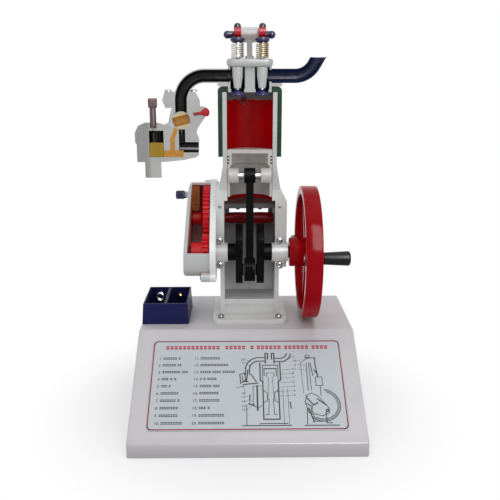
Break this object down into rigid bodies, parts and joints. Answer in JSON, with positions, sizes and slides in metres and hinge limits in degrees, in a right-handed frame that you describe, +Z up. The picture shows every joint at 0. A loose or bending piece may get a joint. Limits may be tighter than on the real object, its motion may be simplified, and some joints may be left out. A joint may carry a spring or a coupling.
{
  "type": "sectioned engine teaching model",
  "caption": "Cut-away single-cylinder four-stroke engine model with overhead valves, sectioned carburettor and gear case, turned by a hand crank on its flywheel, on a sloping console.",
  "frame": {"origin": "centre of the object's box, on the level the console stands on", "axes": "+Z up and along the cylinder, +X to the flywheel side, +Y away from the legend plate"},
  "size_m": [0.2824, 0.2868, 0.4927],
  "materials": {
    "console_grey": "satin",
    "legend_white": "gloss",
    "navy_plastic": "satin",
    "casting_white": "semi-gloss paint",
    "case_grey": "semi-gloss paint",
    "cylinder_red": "gloss paint",
    "jacket_green": "gloss paint",
    "part_red": "gloss paint",
    "crank_black": "gloss paint",
    "part_navy": "gloss paint",
    "valve_blue": "gloss paint",
    "steel": "drawn",
    "chrome_plate": "polished",
    "brass_bare": "turned",
    "gold_paint": "gloss paint",
    "float_yellow": "gloss",
    "grip_black": "gloss",
    "block_brown": "moulded",
    "piston_white": "satin"
  },
  "bodies": {
    "base": {"base_shell": "console_grey", "legend_plate": "legend_white", "battery_box": "navy_plastic", "contact_coil": "steel", "contact_stud": "brass_bare", "crankcase": "case_grey", "bearing_caps": "casting_white", "main_bushes": "brass_bare", "case_screws": "chrome_plate", "gearcase_plate": "casting_white", "gearcase_cover": "casting_white", "gearcase_screws": "chrome_plate", "insulator_block": "block_brown", "terminal": "brass_bare", "cylinder": "cylinder_red", "water_jacket": "jacket_green", "cylinder_head": "casting_white", "valve_guides": "casting_white", "rocker_post": "casting_white", "rocker_shaft": "part_navy", "inlet_pipe": "crank_black", "exhaust_pipe": "part_navy", "spark_plug": "casting_white", "carburettor_body": "casting_white", "carb_screws": "chrome_plate", "fuel_channel": "gold_paint", "valve_spring_inlet": "steel", "valve_spring_exhaust": "steel"},
    "crank": {"crankshaft": "crank_black", "crank_gear": "part_red", "flywheel": "part_red", "hub_screw": "chrome_plate", "handle_spindle": "chrome_plate"},
    "grip": {"handle_grip": "grip_black"},
    "cam": {"camshaft": "part_red", "cam_gear": "part_red", "breaker_cam": "part_red"},
    "piston": {"piston": "piston_white", "piston_rings": "crank_black", "gudgeon_pin": "steel"},
    "rod": {"connecting_rod": "crank_black"},
    "follower_inlet": {"tappet_inlet": "part_navy", "pushrod_inlet": "steel"},
    "follower_exhaust": {"tappet_exhaust": "part_navy", "pushrod_exhaust": "steel"},
    "rocker_inlet_body": {"rocker_inlet": "part_red", "adjuster_inlet": "part_navy"},
    "rocker_exhaust_body": {"rocker_exhaust": "part_red", "adjuster_exhaust": "part_navy"},
    "valve_inlet_body": {"valve_inlet": "valve_blue", "spring_retainer_inlet": "part_navy"},
    "valve_exhaust_body": {"valve_exhaust": "valve_blue", "spring_retainer_exhaust": "part_navy"},
    "throttle": {"throttle_barrel": "gold_paint"},
    "mixture": {"mixture_screw": "part_red"},
    "float": {"float_drum": "float_yellow"},
    "tickler_body": {"tickler": "steel"},
    "breaker": {"breaker_arm": "steel"},
    "terminal_nut": {"terminal_knob": "part_navy"}
  },
  "joints": [
    {"name": "crank_spin", "type": "hinge", "parent": "base", "child": "crank", "pos_m": [0.00625, 0.03357, 0.1997], "axis": [1, 0, 0], "continuous": true},
    {"name": "grip_spin", "type": "hinge", "parent": "crank", "child": "grip", "pos_m": [0.10625, -0.03392, 0.20799], "axis": [1, 0, 0], "continuous": true},
    {"name": "cam_spin", "type": "hinge", "parent": "base", "child": "cam", "pos_m": [-0.05175, 0.08892, 0.23565], "axis": [1, 0, 0], "continuous": true},
    {"name": "piston_slide", "type": "slide", "parent": "base", "child": "piston", "axis": [0, 0, 1], "range_m": [0, 0.0488]},
    {"name": "rod_swing", "type": "hinge", "parent": "piston", "child": "rod", "pos_m": [0.00625, 0.03357, 0.3025], "axis": [1, 0, 0], "range_deg": [-11.06, 11.06]},
    {"name": "tappet_lift_inlet", "type": "slide", "parent": "base", "child": "follower_inlet", "axis": [0, 0, 1], "range_m": [0, 0.0035]},
    {"name": "rocker_swing_inlet", "type": "hinge", "parent": "base", "child": "rocker_inlet_body", "pos_m": [-0.00925, 0.06125, 0.4797], "axis": [1, 0, 0], "range_deg": [0, 7.25]},
    {"name": "valve_open_inlet", "type": "slide", "parent": "base", "child": "valve_inlet_body", "axis": [0, 0, -1], "range_m": [0, 0.0035], "stiffness_N_per_m": 600, "springref_m": -0.004, "deforming": ["valve_spring_inlet"]},
    {"name": "tappet_lift_exhaust", "type": "slide", "parent": "base", "child": "follower_exhaust", "axis": [0, 0, 1], "range_m": [0, 0.0035]},
    {"name": "rocker_swing_exhaust", "type": "hinge", "parent": "base", "child": "rocker_exhaust_body", "pos_m": [0.02175, 0.06125, 0.4797], "axis": [1, 0, 0], "range_deg": [0, 7.25]},
    {"name": "valve_open_exhaust", "type": "slide", "parent": "base", "child": "valve_exhaust_body", "axis": [0, 0, -1], "range_m": [0, 0.0035], "stiffness_N_per_m": 600, "springref_m": -0.004, "deforming": ["valve_spring_exhaust"]},
    {"name": "throttle_turn", "type": "hinge", "parent": "base", "child": "throttle", "pos_m": [-0.08135, 0.03957, 0.3731], "axis": [0, -1, 0], "range_deg": [0, 75]},
    {"name": "mixture_turn", "type": "hinge", "parent": "base", "child": "mixture", "pos_m": [-0.06575, 0.03357, 0.3807], "axis": [0.9868, 0, 0.1619], "continuous": true},
    {"name": "float_rise", "type": "slide", "parent": "base", "child": "float", "axis": [0, 0, 1], "range_m": [0, 0.006]},
    {"name": "tickler_press", "type": "slide", "parent": "base", "child": "tickler_body", "axis": [0, 0, -1], "range_m": [0, 0.0025], "stiffness_N_per_m": 200, "springref_m": -0.003},
    {"name": "breaker_swing", "type": "hinge", "parent": "base", "child": "breaker", "pos_m": [-0.069, 0.11357, 0.2537], "axis": [-1, 0, 0], "range_deg": [0, 1.3], "stiffness_Nm_per_rad": 0.08, "springref_deg": -11.46},
    {"name": "terminal_knob_turn", "type": "hinge", "parent": "base", "child": "terminal_nut", "pos_m": [-0.08875, 0.08657, 0.2687], "axis": [1, 0, 0], "continuous": true}
  ],
  "couplings": [
    {"joint": "cam_spin", "follows": "crank_spin", "ratio": -0.5},
    {"joint": "rocker_swing_inlet", "follows": "tappet_lift_inlet", "rad_per_m": 36.133},
    {"joint": "valve_open_inlet", "follows": "tappet_lift_inlet", "ratio": 1},
    {"joint": "rocker_swing_exhaust", "follows": "tappet_lift_exhaust", "rad_per_m": 36.133},
    {"joint": "valve_open_exhaust", "follows": "tappet_lift_exhaust", "ratio": 1}
  ]
}
